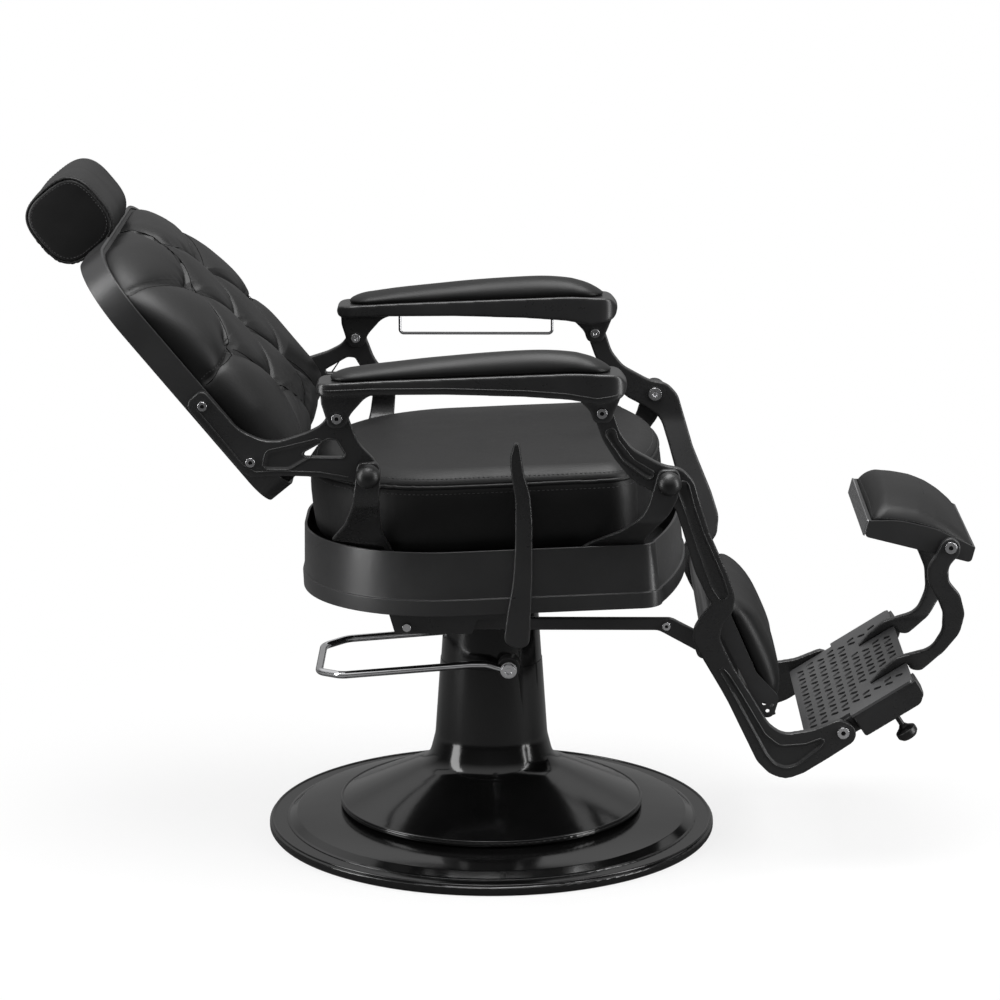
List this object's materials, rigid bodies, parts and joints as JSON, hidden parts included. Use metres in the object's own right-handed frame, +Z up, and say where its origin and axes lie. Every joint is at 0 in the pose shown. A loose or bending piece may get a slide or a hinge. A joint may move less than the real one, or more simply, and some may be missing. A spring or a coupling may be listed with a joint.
{
  "type": "barber chair",
  "caption": "Reclining barber chair on a round pump stand, with tufted back, headrest, cast arms, linked leg rest and tilting footrest.",
  "frame": {"origin": "middle of the stand's underside, on the floor and on the swivel axis", "axes": "+X the way the chair faces, +Y its left, +Z up"},
  "size_m": [1.3546, 0.6738, 0.9931],
  "materials": {
    "rubber_mat": "matte",
    "gloss_black": "gloss",
    "satin_casting": "satin",
    "painted_steel": "satin",
    "ball_black": "gloss",
    "chrome": "polished",
    "steel": "satin",
    "tread_grey": "satin",
    "plywood": "matte",
    "leather": "satin"
  },
  "bodies": {
    "base": {"base_mat": "rubber_mat", "base_rim": "gloss_black", "base_disc": "gloss_black", "column_bell": "gloss_black", "column_collar": "gloss_black", "pump_cylinder": "steel", "pump_gland": "steel", "pedal_bosses": "painted_steel"},
    "pedal": {"pump_pedal": "chrome", "pedal_bolts": "chrome"},
    "ram": {"pump_ram": "chrome"},
    "seat": {"swivel_plate": "painted_steel", "seat_apron": "painted_steel", "seat_frame": "painted_steel", "seat_board": "plywood", "seat_cushion": "leather", "rear_upright_right": "satin_casting", "rear_upright_left": "satin_casting", "front_upright_right": "satin_casting", "front_upright_left": "satin_casting", "ball_nuts": "ball_black", "pivot_washers": "chrome", "pivot_bolts": "chrome", "recline_lock": "painted_steel"},
    "lever": {"recline_lever": "painted_steel", "lever_shaft": "chrome"},
    "push": {"push_bar": "painted_steel", "push_pins": "chrome"},
    "back": {"back_shell": "painted_steel", "back_board": "plywood", "back_cushion": "leather", "back_bracket_right": "satin_casting", "back_bracket_left": "satin_casting", "back_screws": "chrome"},
    "headrest": {"head_bar": "chrome", "head_cushion": "leather"},
    "arm_right": {"arm_frame_right": "satin_casting", "arm_pad_right": "leather", "arm_bolts_right": "chrome"},
    "arm_left": {"arm_frame_left": "satin_casting", "arm_pad_left": "leather", "arm_bolts_left": "chrome", "towel_wire": "chrome"},
    "legrest": {"leg_bar_right": "satin_casting", "leg_bar_left": "satin_casting", "leg_cross_upper": "painted_steel", "leg_cross_lower": "painted_steel", "calf_panel": "painted_steel", "calf_pad": "leather", "calf_trim": "chrome"},
    "footrest": {"foot_frame": "satin_casting", "foot_tread": "tread_grey", "foot_bolts": "chrome", "toe_arm_right": "satin_casting", "toe_arm_left": "satin_casting"},
    "knob": {"clamp_knob": "gloss_black"},
    "toe": {"toe_tray": "satin_casting", "toe_end_plate": "chrome", "toe_pad": "leather", "toe_bolts": "chrome"}
  },
  "joints": [
    {"name": "lift", "type": "slide", "parent": "base", "child": "ram", "axis": [0, 0, 1], "range_m": [0, 0.16]},
    {"name": "swivel", "type": "hinge", "parent": "ram", "child": "seat", "pos_m": [0, 0, 0.37], "axis": [0, 0, 1], "continuous": true},
    {"name": "pump", "type": "hinge", "parent": "base", "child": "pedal", "pos_m": [0.026, 0, 0.266], "axis": [0, 1, 0], "range_deg": [-14, 0], "stiffness_Nm_per_rad": 20, "springref_deg": 17.19},
    {"name": "recline", "type": "hinge", "parent": "seat", "child": "back", "pos_m": [-0.166, 0, 0.605], "axis": [0, 1, 0], "range_deg": [0, 22]},
    {"name": "leg_swing", "type": "hinge", "parent": "seat", "child": "legrest", "pos_m": [0.2475, 0, 0.595], "axis": [0, 1, 0], "range_deg": [-0.5, 17.5]},
    {"name": "arm_right_swing", "type": "hinge", "parent": "back", "child": "arm_right", "pos_m": [-0.209, -0.289, 0.683], "axis": [0, 1, 0], "range_deg": [-24.5, 0.5]},
    {"name": "arm_left_swing", "type": "hinge", "parent": "back", "child": "arm_left", "pos_m": [-0.209, 0.289, 0.683], "axis": [0, 1, 0], "range_deg": [-24.5, 0.5]},
    {"name": "lock_slide", "type": "slide", "parent": "seat", "child": "push", "axis": [1, 0, 0], "range_m": [-0.083, 0.002]},
    {"name": "recline_release", "type": "hinge", "parent": "seat", "child": "lever", "pos_m": [0.038, -0.2, 0.371], "axis": [0, 1, 0], "range_deg": [-12, 12], "stiffness_Nm_per_rad": 15},
    {"name": "head_height", "type": "slide", "parent": "back", "child": "headrest", "axis": [-0.6361, 0, 0.7716], "range_m": [0, 0.08]},
    {"name": "foot_flip", "type": "hinge", "parent": "legrest", "child": "footrest", "pos_m": [0.505, 0, 0.2], "axis": [0, 1, 0], "range_deg": [-10, 30]},
    {"name": "toe_tilt", "type": "hinge", "parent": "footrest", "child": "toe", "pos_m": [0.656, 0, 0.4625], "axis": [0, 1, 0], "range_deg": [-20, 20]},
    {"name": "clamp_turn", "type": "hinge", "parent": "footrest", "child": "knob", "pos_m": [0.5691, -0.172, 0.24083], "axis": [-0.5373, 0, 0.8434], "continuous": true}
  ],
  "couplings": [
    {"joint": "leg_swing", "follows": "recline", "ratio": 0.7725},
    {"joint": "arm_right_swing", "follows": "recline", "ratio": -1.0875},
    {"joint": "arm_left_swing", "follows": "recline", "ratio": -1.0875},
    {"joint": "lock_slide", "follows": "recline", "m_per_rad": -0.2115}
  ]
}
